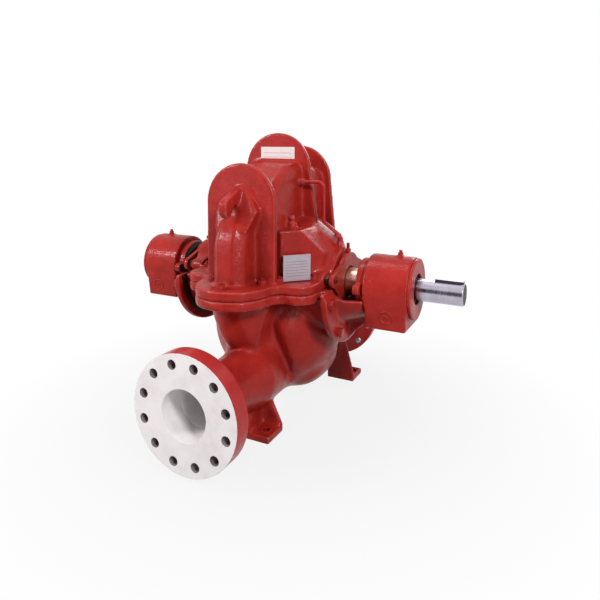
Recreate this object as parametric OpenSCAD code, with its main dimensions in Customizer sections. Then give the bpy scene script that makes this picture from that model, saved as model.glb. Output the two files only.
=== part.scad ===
// Horizontal split case pump with a bare drive shaft, in millimetres.
// +X runs along the shaft towards the drive end, -Y is the discharge side and +Z is up.
// The feet stand on z = 0 and the origin is under the middle of the bounding box.

/* [Layout] */
// Height of the shaft centre above the feet
shaft_height = 482; // [460:1:520]
// Height of both nozzle centres above the feet
nozzle_height = 194; // [192:1:220]
// Distance of each nozzle face from the shaft plane
nozzle_reach = 560; // [520:1:620]
// Distance from the pump centre plane to the end of the drive shaft
shaft_reach = 655; // [620:1:720]
// Length of each bearing bracket
bracket_l = 100; // [90:1:120]

/* [Flanges] */
// Outside diameter of the discharge flange
discharge_od = 355.6; // [330:0.1:380]
// Bolt circle of the discharge flange
discharge_pcd = 292.1; // [260:0.1:300]
// Bolt hole diameter of the discharge flange
discharge_hole_d = 28.6; // [20:0.1:32]
// Bore of the discharge nozzle
discharge_bore_d = 152.4; // [130:0.1:170]
// Thickness of the discharge flange
discharge_t = 56; // [36:1:70]
// Outside diameter of the suction flange
suction_od = 381; // [360:0.1:384]
// Bolt circle of the suction flange
suction_pcd = 330.2; // [300:0.1:335]
// Bolt hole diameter of the suction flange
suction_hole_d = 25.4; // [20:0.1:30]
// Bore of the suction nozzle
suction_bore_d = 203.2; // [180:0.1:220]
// Thickness of the suction flange
suction_t = 42; // [30:1:60]
// Bolt holes in each nozzle flange
flange_holes = 12; // [8:4:16]
// Wall of both nozzles behind their flanges
nozzle_wall = 16; // [14:1:26]
// Length of the necks behind both flanges
neck_l = 28; // [20:1:40]
// Straight length of both nozzles before they flare
nozzle_straight = 60; // [40:1:90]
// Radius of the arc in which both nozzles flare
flare_r = 520; // [420:10:640]

/* [Casing] */
// Thickness of the upper parting flange
upper_flange_t = 30; // [24:1:38]
// Thickness of the lower parting flange
lower_flange_t = 30; // [24:1:40]
// Half length of the parting flange along the shaft
casing_half = 236; // [222:1:244]
// Half width of the parting flange beside the stuffing boxes
shoulder_half = 258; // [235:1:266]
// Corner radius of the parting flange shoulders
shoulder_r = 62; // [50:1:90]
// Radius of the parting flange around the volute nose
nose_r = 125; // [115:1:136]
// Fillet radius between the nose and the shoulders of the parting flange
waist_r = 42; // [20:1:50]
// Reach of the volute nose from the shaft
nose_reach = 416; // [385:1:425]
// Outer radius of the volute
volute_r = 344; // [325:1:352]
// Half width of the volute along the shaft
volute_half = 98; // [88:1:106]
// Half width of the volute nose in front of the first rib and of the volute at the nozzle
nose_half = 55; // [48:1:64]
// Radius of the volute nose seen from the side
nose_bend = 150; // [130:1:170]
// Distance of the volute nose from the shaft plane
nose_front = 356; // [340:1:366]
// Height above the shaft at which the volute nose starts to bend back
nose_knee = 123; // [100:1:140]
// Width of the chamfers along the volute nose
nose_chamfer = 28; // [18:1:34]
// Corner radius of the upper volute section
volute_corner = 34; // [20:1:44]
// Rise of the upper volute above the shaft centre
volute_rise = 60; // [40:1:75]
// Radius of the suction bowl in the lower half
bowl_r = 230; // [215:1:236]
// Clearance of the bowl above the foot plane
bowl_lift = 84; // [76:1:110]
// Radius of the suction domes beside the upper volute
dome_r = 212; // [200:1:226]
// Radius of the stuffing box ends
hub_r = 112; // [104:1:120]
// Projection of the drive side casing hub beyond the parting flange
drive_hub_l = 16; // [12:1:24]
// Projection of the free side casing hub beyond the parting flange
free_hub_l = 60; // [50:1:68]
// Clearance bore around the shaft sleeves
casing_bore_r = 54; // [52:0.5:60]
// Length of the stuffing box ends
box_l = 60; // [50:1:70]
// Height of the nameplate shoulder above the shaft
name_h = 190; // [160:1:200]

/* [Ribs] */
// Thickness of the arched ribs
rib_t = 20; // [14:1:26]
// Radius of the arched rib tops
rib_r = 126; // [115:1:138]
// Height of the front, middle and rear ribs above the shaft
rib_tops = [405, 504, 460];
// Distance of the front, middle and rear ribs from the shaft plane
rib_ys = [-255, -10, 166];
// Flare of each side of the front, middle and rear ribs at their feet
rib_flares = [0, 62, 34];
// Thickness of the lifting hook
hook_t = 28; // [20:1:36]

/* [Feet] */
// Thickness of the foot pads
pad_t = 22; // [16:1:26]
// Thickness of the foot webs
web_t = 16; // [12:1:20]
// Half width over the front pads
front_pad_half = 118; // [108:1:140]
// Half width over the rear pads
rear_pad_half = 190; // [175:1:205]
// Depth of each pad along the nozzles
pad_depth = 98; // [86:1:110]
// Bolt hole diameter of the feet
foot_hole_d = 19; // [14:0.5:24]
// Half spacing of the front foot bolts
front_hole_x = 83; // [70:1:95]
// Half spacing of the rear foot bolts
rear_hole_x = 168; // [150:1:175]

/* [Rotor] */
// Shaft radius in the bearings and at the drive end
shaft_r = 36; // [33:0.5:38]
// Running clearance of the shaft in each bearing
bearing_clearance = 0.05; // [0.02:0.01:0.09]
// Outer radius of the shaft sleeves
sleeve_r = 48; // [46:0.5:49]
// Key width
key_w = 20; // [16:1:22]
// Key height above the shaft surface
key_rise = 6; // [4:0.5:8]
// Key length
key_l = 88; // [60:1:110]
// Depth of the key seat below the shaft surface
key_seat = 10; // [7:0.5:12]
// Length of the shaft sleeves inside the stuffing boxes
sleeve_in = 110; // [90:1:130]

/* [Bearings] */
// Radius of the bearing housings
housing_r = 103; // [96:1:106]
// Length of the bearing housings
housing_l = 146; // [136:1:160]
// Half width of the housing bases
housing_base = 86; // [76:1:92]
// Depth of the housing bases below the shaft
housing_drop = 124; // [115:1:130]
// Thickness of the outboard covers
cover_t = 10; // [8:1:14]
// Radius of the inboard covers
inner_cover_r = 86; // [78:1:88]
// Thickness of the inboard covers
inner_cover_t = 30; // [24:1:34]
// Half spacing of the bolt lugs on the inboard covers
lug_pitch = 97; // [90:1:98]
// Radius of the bolt lugs on the inboard covers
lug_r = 17; // [13:1:18]
// Thickness of the bolt lugs on the inboard covers
lug_t = 22; // [16:1:24]

/* [Brackets] */
// Radius of the bracket mounting flanges
bracket_r = 204; // [190:1:215]
// Thickness of the bracket mounting flanges
bracket_t = 22; // [18:1:28]
// Outer radius of the troughs at the mounting flange
trough_r = 146; // [136:1:152]
// Outer radius of the troughs at the housing
trough_end_r = 105; // [102:1:112]
// Wall of the bracket troughs
trough_wall = 16; // [12:1:20]
// Radius of the opening at the housing end
saddle_r = 91; // [90:0.5:94]
// Thickness of the wall at the housing end
saddle_t = 18; // [14:1:24]
// Depth of the scooped trough rim below the shaft
rim_drop = 37; // [25:1:45]
// Radius of the scoop in the trough rim
scoop_r = 46; // [40:1:52]

/* [Glands and flush line] */
// Radius of the gland plates
gland_r = 100; // [92:1:104]
// Thickness of the gland plates
gland_t = 16; // [12:1:18]
// Gap between a stuffing box and its gland
gland_gap = 5; // [3:1:8]
// Half spacing of the gland studs
gland_pitch = 128; // [122:1:132]
// Height of the gland studs above the shaft centre
gland_lift = 28; // [24:1:34]
// Radius of the stud lobes
gland_lobe_r = 22; // [19:1:24]
// Radius of the gland studs
stud_r = 8; // [6:0.5:10]
// Radius of the flush tubes
tube_r = 6; // [4:0.5:8]
// Bend radius of the flush tubes
tube_bend = 22; // [18:1:30]
// Distance of the flush tubes' drop from the pump centre plane
tube_x = 190; // [175:1:200]
// Radius of the flush ports over the corners of their hexagons
port_r = 12; // [10:0.5:13]

/* [Hidden] */
$fn = 64;
iron = [0.66, 0.16, 0.15];
steel = [0.72, 0.72, 0.74];
bronze = [0.78, 0.6, 0.5];

drive_hub = casing_half + drive_hub_l;
free_hub = casing_half + free_hub_l;
drive_x = drive_hub + bracket_l;
free_x = -free_hub - bracket_l;
drive_face = drive_x + housing_l + cover_t;
free_face = free_x - housing_l - cover_t;
centre_x = -(shaft_reach + free_face) / 2;
span = shaft_reach - free_face;

// Nozzles: neck radii, how far the bodies run in, how much they may flare and how deep they are bored
discharge_neck = discharge_bore_d / 2 + nozzle_wall;
suction_neck = suction_bore_d / 2 + nozzle_wall;
discharge_run = nozzle_reach - 40;
suction_run = nozzle_reach - 100;
flare_most = 26;
bore_run = 300;

// Casing: radius of the barrel below the boxes and the rounding of the suction domes
barrel_r = hub_r + 50;
dome_half = casing_half - 12;
dome_round = dome_half - volute_half + 6;
waist_y = 60;

// Nameplate shoulder: its outer end, its front and where its front starts to turn
name_out = casing_half - 14;
name_front = 43 - shoulder_half;
name_in = volute_half + 20;
name_lean = name_h - 80;
root_reach = 68;

// Feet: where the pads start along the nozzles, their webs and their holes
front_pad_y = -286;
rear_pad_y = 268;
front_web_x = 30;
rear_web_x = 76;
front_hole = [front_hole_x, front_pad_y + 42];
rear_hole = [rear_hole_x, rear_pad_y + 58];

// Bearing housings: the inset base, where its sides leave the round, and the fittings on top
base_in = 6;
lean_d = housing_r * 0.24;
lean_y = housing_r * 0.97;
grease_in = housing_l * 0.66;
grease_boss_r = 13;
grease_boss_h = 4;
drive_grease = drive_x + grease_in;
free_grease = free_x - grease_in;
shaft_gap = 14;
drive_recess = 12;
free_recess = 40;
free_opening = lug_pitch - lug_r - 18;
sleeve_gap = 5;
sleeve_stop = 8;
key_end = 4;
shaft_chamfer = 3;
shaft_start = free_x - housing_l;

// Scoop in each bracket's trough, measured along the bracket
scoop_at = 0.56 * bracket_l;

// Gland studs and their nuts, which sit in front of the box lobes
lobe_back = 14;
stud_l = lobe_back + gland_gap + gland_t + 3;
nut_r = 15;
nut_t = 12;

// Flush line: where the tubes leave the volute, the end of their drop and the stuffing box ports
tube_y = -42;
tube_z = shaft_height + volute_rise + 0.81 * volute_r;
tube_low = shaft_height + dome_r - 7;
volute_fitting_r = 11;
volute_fitting_l = 14;
port_in = 16;
port_boss = 3;
port_clear = 1.3;
port_z = shaft_height + dome_at(drive_hub - port_in - port_r) + port_clear;
port_l = 28;
tube_in = 6;

// Pipe plugs on the suction domes, and the bosses they close
plug_at = [volute_half + 18, -128];
plug_z = dome_r - 4;
plug_boss_r = 17;
plug_r = 10;
plug_h = 24;

// Height of the suction dome above the shaft at a distance from the pump centre plane
function dome_at(x) = dome_r - dome_round + sqrt(pow(dome_round, 2) - pow(x - volute_half, 2));

// Turns a shape modelled along Z so that its axis lies along X at the shaft centre
module along_shaft(x = 0) translate([x, 0, shaft_height]) rotate([0, 90, 0]) children();

// Keeps what lies above the parting plane
module upper_half() intersection() {
    children();
    translate([-span, -span, shaft_height]) cube([2 * span, 2 * span, span]);
}

// Keeps what lies below the parting plane
module lower_half() intersection() {
    children();
    translate([-span, -span, -pad_t]) cube([2 * span, 2 * span, shaft_height + pad_t]);
}

// Plan of the parting flange: shoulders beside the shaft and a round nose front and rear
module parting_plan() {
    square([2 * casing_half, 2 * (shoulder_half - shoulder_r)], center = true);
    square([2 * (casing_half - shoulder_r), 2 * shoulder_half], center = true);
    for (sx = [-1, 1], sy = [-1, 1])
        translate([sx * (casing_half - shoulder_r), sy * (shoulder_half - shoulder_r)]) circle(shoulder_r);
    for (sy = [-1, 1]) translate([0, sy * (nose_reach - nose_r)]) circle(nose_r);
    square([2 * nose_r, 2 * (nose_reach - nose_r)], center = true);
    for (sx = [-1, 1], sy = [-1, 1]) scale([sx, 1, 1]) difference() {
        translate([0, sy * (shoulder_half + (waist_r - 1) / 2)])
            square([2 * (nose_r + waist_r), waist_r + 1], center = true);
        translate([nose_r + waist_r, sy * (shoulder_half + waist_r)]) circle(waist_r);
        translate([-2 * nose_r, -nose_reach]) square([2 * nose_r, 2 * nose_reach]);
    }
}

// Volute nose under the lifting hook: a chamfered wall that bends back into the first rib
module volute_nose() {
    back = nose_front - nose_bend;
    flat = nose_half - nose_chamfer;
    translate([0, 0, shaft_height]) linear_extrude(nose_knee) polygon([
        [-nose_half, -back], [-nose_half, nose_chamfer - nose_front], [-flat, -nose_front],
        [flat, -nose_front], [nose_half, nose_chamfer - nose_front], [nose_half, -back]]);
    translate([0, -back, shaft_height + nose_knee]) rotate([0, 90, 0]) rotate_extrude($fn = 96) polygon([
        [0, -nose_half], [nose_bend - nose_chamfer, -nose_half], [nose_bend, -flat],
        [nose_bend, flat], [nose_bend - nose_chamfer, nose_half], [0, nose_half]]);
}

// Wheel with rounded rims: the volute section swept about the shaft
module volute_wheel(half, corner) rotate_extrude($fn = 96) {
    translate([0, -half]) square([volute_r - corner, 2 * half]);
    translate([0, corner - half]) square([volute_r, 2 * (half - corner)]);
    for (s = [-1, 1]) translate([volute_r - corner, s * (half - corner)]) circle(corner);
}

// Suction domes on both sides of the volute, rounded down to the stuffing boxes
module dome_barrel() rotate_extrude($fn = 96) {
    translate([0, -volute_half]) square([dome_r, 2 * volute_half]);
    for (s = [-1, 1]) intersection() {
        translate([dome_r - dome_round, s * volute_half]) circle(dome_round, $fn = 96);
        translate([0, -dome_half]) square([dome_r, 2 * dome_half]);
    }
    translate([0, -dome_half]) square([dome_r - dome_round, 2 * dome_half]);
}

// Nozzle flange with its bolt holes straddling the vertical, face on z = 0, neck along +Z
module nozzle_flange(od, t, pcd, hole_d, bore_d, neck_r) difference() {
    union() {
        cylinder(d = od, h = t);
        cylinder(r = neck_r, h = t + neck_l);
    }
    translate([0, 0, -1]) cylinder(d = bore_d, h = t + neck_l + 2);
    for (i = [0:flange_holes - 1]) rotate([0, 0, (i + 0.5) * 360 / flange_holes])
        translate([pcd / 2, 0, -1]) cylinder(d = hole_d, h = t + 2, $fn = 32);
}

module discharge_flange() color(iron) translate([0, -nozzle_reach, nozzle_height]) rotate([-90, 0, 0])
    nozzle_flange(discharge_od, discharge_t, discharge_pcd, discharge_hole_d, discharge_bore_d,
        discharge_neck);

module suction_flange() color(iron) translate([0, nozzle_reach, nozzle_height]) rotate([90, 0, 0])
    nozzle_flange(suction_od, suction_t, suction_pcd, suction_hole_d, suction_bore_d, suction_neck);

// One foot: a pad, a web beside the nozzle and a slanted web across its inner edge
module foot(y, half, inner, knee, rise, across) {
    translate([inner, y, 0]) cube([half - inner, pad_depth, pad_t]);
    translate([inner, y, 0]) cube([web_t, pad_depth, rise]);
    translate([0, across, 0]) rotate([90, 0, 0]) linear_extrude(web_t)
        polygon([[inner, 0], [half, 0], [half, pad_t + 4], [half - 38, knee], [inner, rise]]);
}

module feet() for (s = [-1, 1]) scale([s, 1, 1]) {
    foot(front_pad_y, front_pad_half, front_web_x, nozzle_height - 90, nozzle_height - 60,
        front_pad_y + pad_depth);
    foot(rear_pad_y, rear_pad_half, rear_web_x, nozzle_height - 30, nozzle_height - 24,
        rear_pad_y + web_t);
}

// Nozzle body from its flange neck: a straight length that flares in an arc towards the casing
module flared_nozzle(neck_r, l) rotate_extrude($fn = 96) difference() {
    union() {
        square([neck_r, l]);
        translate([0, nozzle_straight]) square([neck_r + flare_most, l - nozzle_straight]);
    }
    translate([neck_r + flare_r, nozzle_straight]) circle(flare_r, $fn = 200);
}

module lower_casing() color(iron) difference() {
    lower_half() union() {
        translate([0, 0, shaft_height - lower_flange_t]) linear_extrude(lower_flange_t) parting_plan();
        translate([0, 0, bowl_r + bowl_lift]) sphere(bowl_r, $fn = 96);
        along_shaft(-free_hub) cylinder(r = barrel_r, h = free_hub + drive_hub);
        intersection() {
            along_shaft() volute_wheel(volute_half, volute_half - 12);
            translate([0, span, 0]) rotate([90, 0, 0]) linear_extrude(2 * span) polygon([
                [-volute_half, shaft_height], [-volute_half, shaft_height - waist_y],
                [-nose_half, nozzle_height + waist_y], [-nose_half, 0],
                [nose_half, 0], [nose_half, nozzle_height + waist_y],
                [volute_half, shaft_height - waist_y], [volute_half, shaft_height]]);
        }
        translate([0, discharge_t + neck_l - nozzle_reach, nozzle_height]) rotate([-90, 0, 0])
            flared_nozzle(discharge_neck, discharge_run);
        translate([0, nozzle_reach - suction_t - neck_l, nozzle_height]) rotate([90, 0, 0])
            flared_nozzle(suction_neck, suction_run);
        feet();
    }
    along_shaft(-free_hub - 1) cylinder(r = casing_bore_r, h = free_hub + drive_hub + 2);
    translate([0, -nozzle_reach - 1, nozzle_height]) rotate([-90, 0, 0])
        cylinder(d = discharge_bore_d, h = bore_run);
    translate([0, nozzle_reach + 1, nozzle_height]) rotate([90, 0, 0])
        cylinder(d = suction_bore_d, h = bore_run);
    for (s = [-1, 1], hole = [front_hole, rear_hole])
        translate([s * hole[0], hole[1], -1]) cylinder(d = foot_hole_d, h = pad_t + 30, $fn = 32);
}

// Arched rib across the casing: a round top over sides that flare towards the foot
module arched_rib(y, top, flare) translate([0, y + rib_t / 2, shaft_height]) rotate([90, 0, 0])
    linear_extrude(rib_t) {
        translate([0, top - rib_r]) circle(rib_r, $fn = 96);
        polygon([[-rib_r - flare, 0], [rib_r + flare, 0], [rib_r, top - rib_r], [-rib_r, top - rib_r]]);
    }

// Lifting hook above the volute nose, with the tip turned down and a sloping gusset back to the first rib
module lifting_hook() translate([0, rib_ys[0], shaft_height + rib_tops[0]]) {
    translate([-hook_t / 2, 0, 0]) rotate([90, 0, 90]) linear_extrude(hook_t) polygon([
        [5, -69], [-25, -79], [-75, -98], [-97, -108], [-108, -119], [-108, -149], [-99, -164], [-83, -165],
        [-69, -150], [-60, -134], [-50, -130], [-38, -136], [-24, -152], [5, -159]]);
    intersection() {
        translate([-rib_r, 0, 0]) rotate([90, 0, 90]) linear_extrude(2 * rib_r)
            polygon([[5, -74], [-rib_t / 2 - 2, -74], [-root_reach, -212], [5, -212]]);
        rotate([90, 0, 0]) linear_extrude(root_reach)
            polygon([[-nose_half, -212], [nose_half, -212], [80, -146], [24, -74], [-10, -74], [-68, -150]]);
    }
}

// Nameplate shoulder on the drive side dome: its front is turned half towards the shaft, its end leans in
module name_shoulder() intersection() {
    translate([0, 0, shaft_height]) linear_extrude(name_h) polygon([
        [volute_half, -waist_y], [volute_half, name_front + 9], [name_in, name_front],
        [name_out, name_front + name_out - name_in], [name_out, -waist_y]]);
    translate([0, 0, shaft_height]) rotate([90, 0, 0]) linear_extrude(nozzle_reach) polygon([
        [0, 0], [name_out, 0], [name_out, name_lean], [name_out - 0.72 * (name_h - name_lean), name_h],
        [0, name_h]]);
}

// Space in front of the nameplate, where the dome is cut back to the plane of the shoulder
module name_flat() translate([name_in, name_front, shaft_height]) rotate([0, 0, 45])
    translate([0, -dome_r, 0]) cube([2 * dome_r, dome_r, dome_r]);

// Pipe bosses on top of both suction domes
module pipe_bosses() for (s = [-1, 1]) translate([s * plug_at[0], plug_at[1], shaft_height + hub_r])
    cylinder(r = plug_boss_r, h = plug_z - hub_r, $fn = 32);

module upper_casing() color(iron) difference() {
    upper_half() union() {
        translate([0, 0, shaft_height]) linear_extrude(upper_flange_t) parting_plan();
        volute_nose();
        intersection() {
            translate([0, 0, volute_rise]) along_shaft() volute_wheel(volute_half, volute_corner);
            translate([-span, rib_ys[0], 0]) cube([2 * span, -2 * rib_ys[0], 2 * span]);
        }
        difference() {
            along_shaft() dome_barrel();
            name_flat();
        }
        along_shaft(-free_hub) cylinder(r = hub_r, h = free_hub + drive_hub);
        for (x = [lobe_back - free_hub, drive_hub - box_l]) along_shaft(x) gland_plate(box_l - lobe_back);
        for (i = [0:2]) arched_rib(rib_ys[i], rib_tops[i], rib_flares[i]);
        lifting_hook();
        name_shoulder();
        pipe_bosses();
        for (x = [drive_hub - port_in, port_in - free_hub])
            translate([x, 0, shaft_height + casing_bore_r])
                cylinder(r = port_r + port_boss, h = port_z - shaft_height - casing_bore_r, $fn = 32);
    }
    along_shaft(-free_hub - 1) cylinder(r = casing_bore_r, h = free_hub + drive_hub + 2);
}

// Half flange and scooped trough between a casing hub and a bearing housing, drawn on the drive side
module bracket(hub_x) difference() {
    lower_half() union() {
        along_shaft(hub_x) cylinder(r = bracket_r, h = bracket_t);
        along_shaft(hub_x) cylinder(r1 = trough_r, r2 = trough_end_r, h = bracket_l);
        translate([0, web_t / 2, shaft_height]) rotate([90, 0, 0]) linear_extrude(web_t) polygon([
            [hub_x, -saddle_r - 6], [hub_x + bracket_l, -saddle_r - 6],
            [hub_x + bracket_l, -housing_drop + 4], [hub_x + 0.45 * bracket_l, -trough_r - 22],
            [hub_x + bracket_t, -bracket_r + 8], [hub_x, -bracket_r + 8]]);
    }
    along_shaft(hub_x - 1)
        cylinder(r1 = trough_r - trough_wall, r2 = trough_end_r - trough_wall, h = bracket_l - saddle_t + 1);
    along_shaft(hub_x) cylinder(r = saddle_r, h = bracket_l + 1);
    translate([hub_x + scoop_at, -bracket_r, shaft_height + scoop_r - rim_drop]) rotate([-90, 0, 0])
        cylinder(r = scoop_r, h = 2 * bracket_r);
    translate([hub_x + scoop_at, -bracket_r, shaft_height - rim_drop])
        cube([bracket_l, 2 * bracket_r, 2 * rim_drop]);
}
module bearing_bracket_right() color(iron) bracket(drive_hub);
module bearing_bracket_left() color(iron) mirror([1, 0, 0]) bracket(free_hub);

// Round bearing body with sides that run down to a flat base, open around the shaft at its drive end
module housing(x, grease_x, recess_r, recess_l) difference() {
    union() {
        along_shaft(x) cylinder(r = housing_r, h = housing_l);
        along_shaft(x + base_in) linear_extrude(housing_l - 2 * base_in) polygon([
            [lean_d, -lean_y], [lean_d, lean_y],
            [housing_drop, housing_base], [housing_drop, -housing_base]]);
        translate([grease_x, 0, shaft_height + shaft_r + shaft_gap])
            cylinder(r = grease_boss_r, h = housing_r + grease_boss_h - shaft_r - shaft_gap, $fn = 32);
    }
    along_shaft(x - 1) cylinder(r = shaft_r + bearing_clearance, h = housing_l + 2);
    along_shaft(x + housing_l - recess_l) cylinder(r = recess_r, h = recess_l + 1);
}
module bearing_housing_right() color(iron) housing(drive_x, drive_grease, shaft_r + shaft_gap, drive_recess);
module bearing_housing_left() color(iron) housing(free_x - housing_l, free_grease, free_opening, free_recess);

module outboard_cover_right() color(iron) along_shaft(drive_x + housing_l) difference() {
    cylinder(r = housing_r - 3, h = cover_t);
    translate([0, 0, -1]) cylinder(r = shaft_r + shaft_gap, h = cover_t + 2);
}
module outboard_cover_left() color(iron) along_shaft(free_face) cylinder(r = housing_r - 3, h = cover_t);

// Oval cover on the casing side of a housing, with a bolt lug on each side held off the housing
module inner_cover(opening) difference() {
    union() {
        cylinder(r = inner_cover_r, h = inner_cover_t);
        for (s = [-1, 1]) translate([0, s * lug_pitch, 0]) cylinder(r = lug_r, h = lug_t, $fn = 32);
        translate([-lug_r, -lug_pitch, 0]) cube([2 * lug_r, 2 * lug_pitch, lug_t]);
    }
    translate([0, 0, -1]) cylinder(r = opening, h = inner_cover_t + 2);
}
module inboard_cover_right() color(iron)
    along_shaft(drive_x - inner_cover_t) inner_cover(sleeve_r + sleeve_gap);
module inboard_cover_left() color(iron) mirror([1, 0, 0])
    along_shaft(-free_x - inner_cover_t) inner_cover(free_opening);

// Point just inside the rim of the stud lobe, at an angle from the gland's down direction
function lobe_point(angle) =
    [-gland_lift, gland_pitch] + 0.92 * gland_lobe_r * [cos(angle), sin(angle)];

// Stuffing box end or gland plate: a disc with two stud lobes just above the parting plane
module gland_plate(t) {
    cheek = [[-0.88 * gland_r, 0.26 * gland_r], lobe_point(147), lobe_point(14),
        [0.3 * gland_r, 0.9 * gland_r]];
    cylinder(r = gland_r, h = t, $fn = 96);
    for (s = [-1, 1]) translate([-gland_lift, s * gland_pitch, 0])
        cylinder(r = gland_lobe_r, h = t, $fn = 32);
    linear_extrude(t) polygon(concat(cheek, [for (i = [3:-1:0]) [cheek[i][0], -cheek[i][1]]]));
}

// Packing gland with its studs' holes, drawn on the drive side
module gland(hub_x) along_shaft(hub_x + gland_gap) difference() {
    gland_plate(gland_t);
    translate([0, 0, -1]) cylinder(r = sleeve_r + sleeve_gap, h = gland_t + 2);
    for (s = [-1, 1]) translate([-gland_lift, s * gland_pitch, -1])
        cylinder(r = stud_r, h = gland_t + 2, $fn = 32);
}
module gland_right() color(iron) gland(drive_hub);
module gland_left() color(iron) mirror([1, 0, 0]) gland(free_hub);

// Gland studs from the box lobes through the gland, each with a nut behind the gland
module studs(hub_x) along_shaft(hub_x) for (s = [-1, 1]) translate([-gland_lift, s * gland_pitch, 0]) {
    translate([0, 0, -lobe_back]) cylinder(r = stud_r, h = stud_l, $fn = 32);
    translate([0, 0, -nut_t]) cylinder(r = nut_r, h = nut_t, $fn = 6);
}
module gland_studs_right() color(steel) studs(drive_hub);
module gland_studs_left() color(steel) mirror([1, 0, 0]) studs(free_hub);

// Plain shaft from the end of the free bearing to its chamfered drive end, with a key seat
module shaft() color(steel) difference() {
    union() {
        along_shaft(shaft_start) cylinder(r = shaft_r, h = shaft_reach - shaft_chamfer - shaft_start);
        along_shaft(shaft_reach - shaft_chamfer)
            cylinder(r1 = shaft_r, r2 = shaft_r - shaft_chamfer, h = shaft_chamfer);
    }
    key_block(2 * key_seat);
}

// Block over the key seat, from its floor to a height above the shaft surface
module key_block(rise)
    translate([shaft_reach - key_l - key_end, -key_w / 2, shaft_height + shaft_r - key_seat])
        cube([key_l, key_w, key_seat + rise]);
module shaft_key() color(steel) key_block(key_rise);

// Shaft sleeve from inside the stuffing box to the inboard cover
module sleeve(hub_x) along_shaft(hub_x - sleeve_in) difference() {
    cylinder(r = sleeve_r, h = sleeve_in + bracket_l - sleeve_stop);
    translate([0, 0, -1]) cylinder(r = shaft_r, h = sleeve_in + bracket_l);
}
module shaft_sleeve_right() color(bronze) sleeve(drive_hub);
module shaft_sleeve_left() color(bronze) mirror([1, 0, 0]) sleeve(free_hub);

// Flush tube: across from the volute, a bend, down the dome and over to the stuffing box port
module tube(port_x) {
    start_x = volute_half + volute_fitting_l;
    low = [tube_x, tube_y, tube_low];
    reach = [port_x, 0, port_z + port_l + tube_in] - low;
    translate([start_x, tube_y, tube_z]) rotate([0, 90, 0])
        cylinder(r = tube_r, h = tube_x - tube_bend - start_x, $fn = 24);
    translate([tube_x - tube_bend, tube_y, tube_z - tube_bend]) rotate([90, 0, 0])
        rotate_extrude(angle = 90) translate([tube_bend, 0]) circle(tube_r, $fn = 24);
    translate(low) cylinder(r = tube_r, h = tube_z - tube_bend - tube_low, $fn = 24);
    translate(low) sphere(tube_r + 0.5, $fn = 24);
    translate(low) rotate([0, acos(reach[2] / norm(reach)), atan2(reach[1], reach[0])])
        cylinder(r = tube_r, h = norm(reach), $fn = 24);
}
module flush_tube_right() color(iron) tube(drive_hub - port_in);
module flush_tube_left() color(iron) mirror([1, 0, 0]) tube(free_hub - port_in);

// Hex fittings where the tubes leave the volute and enter the stuffing box ports
module flush_fittings() color(iron) for (s = [-1, 1]) scale([s, 1, 1]) {
    translate([volute_half, tube_y, tube_z]) rotate([0, 90, 0])
        cylinder(r = volute_fitting_r, h = volute_fitting_l, $fn = 6);
    translate([(s > 0 ? drive_hub : free_hub) - port_in, 0, port_z])
        cylinder(r = port_r, h = port_l, $fn = 6);
}

module casing_plugs() color(iron) for (s = [-1, 1])
    translate([s * plug_at[0], plug_at[1], shaft_height + plug_z]) cylinder(r = plug_r, h = plug_h, $fn = 6);

// Grease fitting: a hexagon with a round nipple on top
module grease(x) translate([x, 0, shaft_height + housing_r + grease_boss_h]) {
    cylinder(r = 7, h = 12, $fn = 6);
    translate([0, 0, 12]) cylinder(r = 4, h = 8, $fn = 24);
}
module grease_fitting_right() color(steel) grease(drive_grease);
module grease_fitting_left() color(steel) grease(free_grease);

translate([centre_x, 0, 0]) {
    lower_casing();
    discharge_flange();
    suction_flange();
    upper_casing();
    bearing_bracket_left();
    bearing_bracket_right();
    bearing_housing_left();
    bearing_housing_right();
    outboard_cover_left();
    outboard_cover_right();
    inboard_cover_left();
    inboard_cover_right();
    gland_left();
    gland_right();
    gland_studs_left();
    gland_studs_right();
    shaft();
    shaft_key();
    shaft_sleeve_left();
    shaft_sleeve_right();
    flush_tube_left();
    flush_tube_right();
    flush_fittings();
    casing_plugs();
    grease_fitting_left();
    grease_fitting_right();
}
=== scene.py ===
import math

import bmesh
import bpy
import numpy as np
from mathutils import Matrix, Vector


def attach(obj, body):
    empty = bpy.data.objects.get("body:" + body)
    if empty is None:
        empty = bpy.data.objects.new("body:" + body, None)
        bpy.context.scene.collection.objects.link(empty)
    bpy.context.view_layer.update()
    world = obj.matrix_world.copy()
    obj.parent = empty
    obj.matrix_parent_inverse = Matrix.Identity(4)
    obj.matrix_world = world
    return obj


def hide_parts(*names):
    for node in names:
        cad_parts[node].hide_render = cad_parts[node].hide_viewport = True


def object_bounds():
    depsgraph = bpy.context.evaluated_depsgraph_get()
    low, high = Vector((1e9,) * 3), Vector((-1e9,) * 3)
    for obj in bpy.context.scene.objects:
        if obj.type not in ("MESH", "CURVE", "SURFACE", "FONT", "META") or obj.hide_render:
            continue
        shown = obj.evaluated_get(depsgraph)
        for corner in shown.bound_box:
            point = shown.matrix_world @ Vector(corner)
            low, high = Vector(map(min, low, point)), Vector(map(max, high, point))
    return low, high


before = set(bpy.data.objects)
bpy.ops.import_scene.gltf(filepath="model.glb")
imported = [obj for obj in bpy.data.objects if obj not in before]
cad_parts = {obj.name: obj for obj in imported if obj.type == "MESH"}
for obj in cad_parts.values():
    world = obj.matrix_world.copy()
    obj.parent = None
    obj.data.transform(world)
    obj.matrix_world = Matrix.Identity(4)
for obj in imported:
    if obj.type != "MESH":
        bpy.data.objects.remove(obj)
cad_low, cad_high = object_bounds()

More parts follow.
